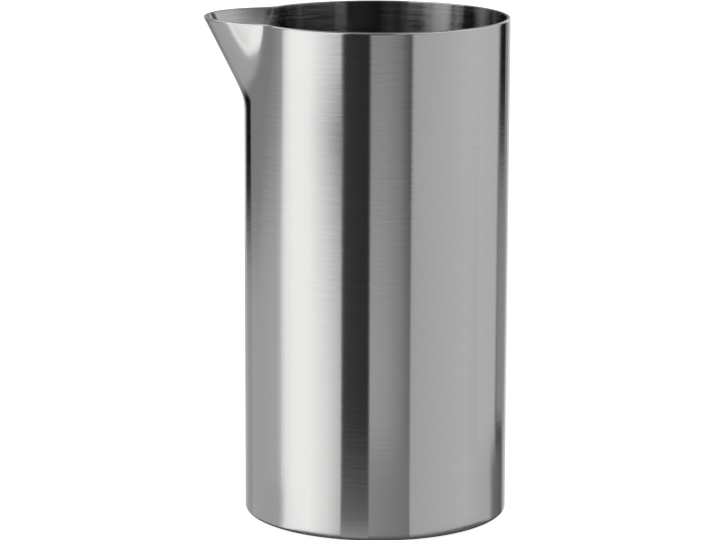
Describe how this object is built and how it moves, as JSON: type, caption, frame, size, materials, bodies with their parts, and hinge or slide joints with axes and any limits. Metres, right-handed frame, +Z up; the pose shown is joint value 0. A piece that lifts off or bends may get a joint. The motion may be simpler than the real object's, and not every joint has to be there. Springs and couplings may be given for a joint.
{
  "type": "milk jug",
  "caption": "Small straight-sided milk jug in satin-brushed steel, with a round-nosed pouring spout formed at the rim, a flat base and no handle or lid.",
  "frame": {"origin": "on the tube's axis, on the flat underside that the jug stands on", "axes": "+Z up along the tube's axis, -X the way the spout pours, Y across the jug"},
  "size_m": [0.0633, 0.055, 0.1042],
  "materials": {
    "tube_steel": "satin, brushed around the tube",
    "spout_steel": "satin, brushed around the jug",
    "base_steel": "satin, turned in rings"
  },
  "bodies": {
    "root": {"body_tube": "tube_steel", "spout": "spout_steel", "base_plate": "base_steel"}
  },
  "joints": []
}
